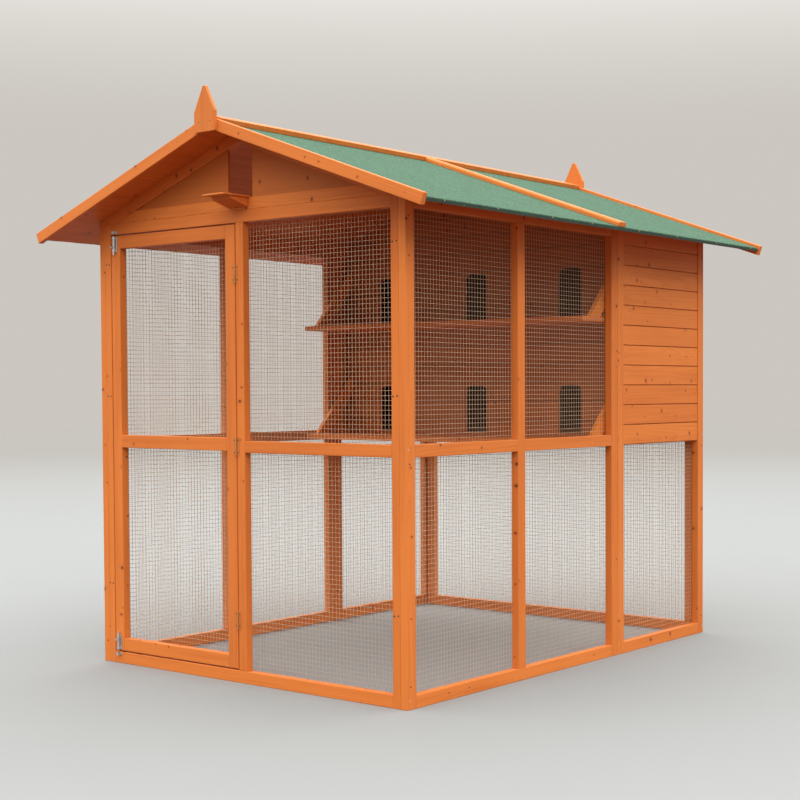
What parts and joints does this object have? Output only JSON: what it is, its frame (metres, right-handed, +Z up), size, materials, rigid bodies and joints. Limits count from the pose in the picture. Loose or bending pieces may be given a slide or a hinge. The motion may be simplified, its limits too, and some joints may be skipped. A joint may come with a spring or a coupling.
{
  "type": "wooden dovecote",
  "caption": "Wooden pigeon aviary with a felted gable roof, wire mesh run with a bolted hinged door, landing board under the gable, and a raised nest box with six entrance holes and shelves.",
  "frame": {"origin": "floor level under the middle of the whole outline", "axes": "+Z up, +Y along the ridge from the door gable to the nest box, +X to the right seen from the door gable"},
  "size_m": [1.9274, 2.274, 2.0843],
  "materials": {
    "stained_wood": "orange-brown stained softwood, matt",
    "galvanised_wire": "galvanised",
    "green_felt": "mineral felt with green granules",
    "hinge_metal": "dull yellow plated",
    "zinc_bolt": "zinc plated"
  },
  "bodies": {
    "house": {"front_stiles": "stained_wood", "front_rails": "stained_wood", "rear_stiles": "stained_wood", "rear_rails": "stained_wood", "rear_nest_wall": "stained_wood", "gable_frames": "stained_wood", "front_gable_panels": "stained_wood", "rear_gable_panel": "stained_wood", "landing_board": "stained_wood", "landing_bracket": "stained_wood", "nest_front_wall": "stained_wood", "nest_floors": "stained_wood", "nest_shelves": "stained_wood", "shelf_braces": "stained_wood", "roof_battens": "stained_wood", "barge_boards": "stained_wood", "front_finial": "stained_wood", "rear_finial": "stained_wood", "left_stiles": "stained_wood", "left_rails": "stained_wood", "left_nest_wall": "stained_wood", "right_stiles": "stained_wood", "right_rails": "stained_wood", "right_nest_wall": "stained_wood", "left_roof_boards": "stained_wood", "right_roof_boards": "stained_wood", "front_mesh": "galvanised_wire", "rear_mesh": "galvanised_wire", "left_run_mesh": "galvanised_wire", "left_nest_mesh": "galvanised_wire", "right_run_mesh": "galvanised_wire", "right_nest_mesh": "galvanised_wire", "left_roof_felt": "green_felt", "right_roof_felt": "green_felt", "post_hinge_leaves": "hinge_metal", "bolt_keepers": "zinc_bolt"},
    "door": {"door_stiles": "stained_wood", "door_rails": "stained_wood", "door_mesh": "galvanised_wire", "door_hinge_leaves": "hinge_metal", "bolt_cases": "zinc_bolt"},
    "top_bolt": {"top_bolt": "zinc_bolt"},
    "bottom_bolt": {"bottom_bolt": "zinc_bolt"}
  },
  "joints": [
    {"name": "door_hinge", "type": "hinge", "parent": "house", "child": "door", "pos_m": [-0.0215, -0.9835, 0.8375], "axis": [0, 0, 1], "range_deg": [0, 110]},
    {"name": "top_bolt_slide", "type": "slide", "parent": "door", "child": "top_bolt", "axis": [0, 0, 1], "range_m": [0, 0.018]},
    {"name": "bottom_bolt_slide", "type": "slide", "parent": "door", "child": "bottom_bolt", "axis": [0, 0, -1], "range_m": [0, 0.018]}
  ]
}
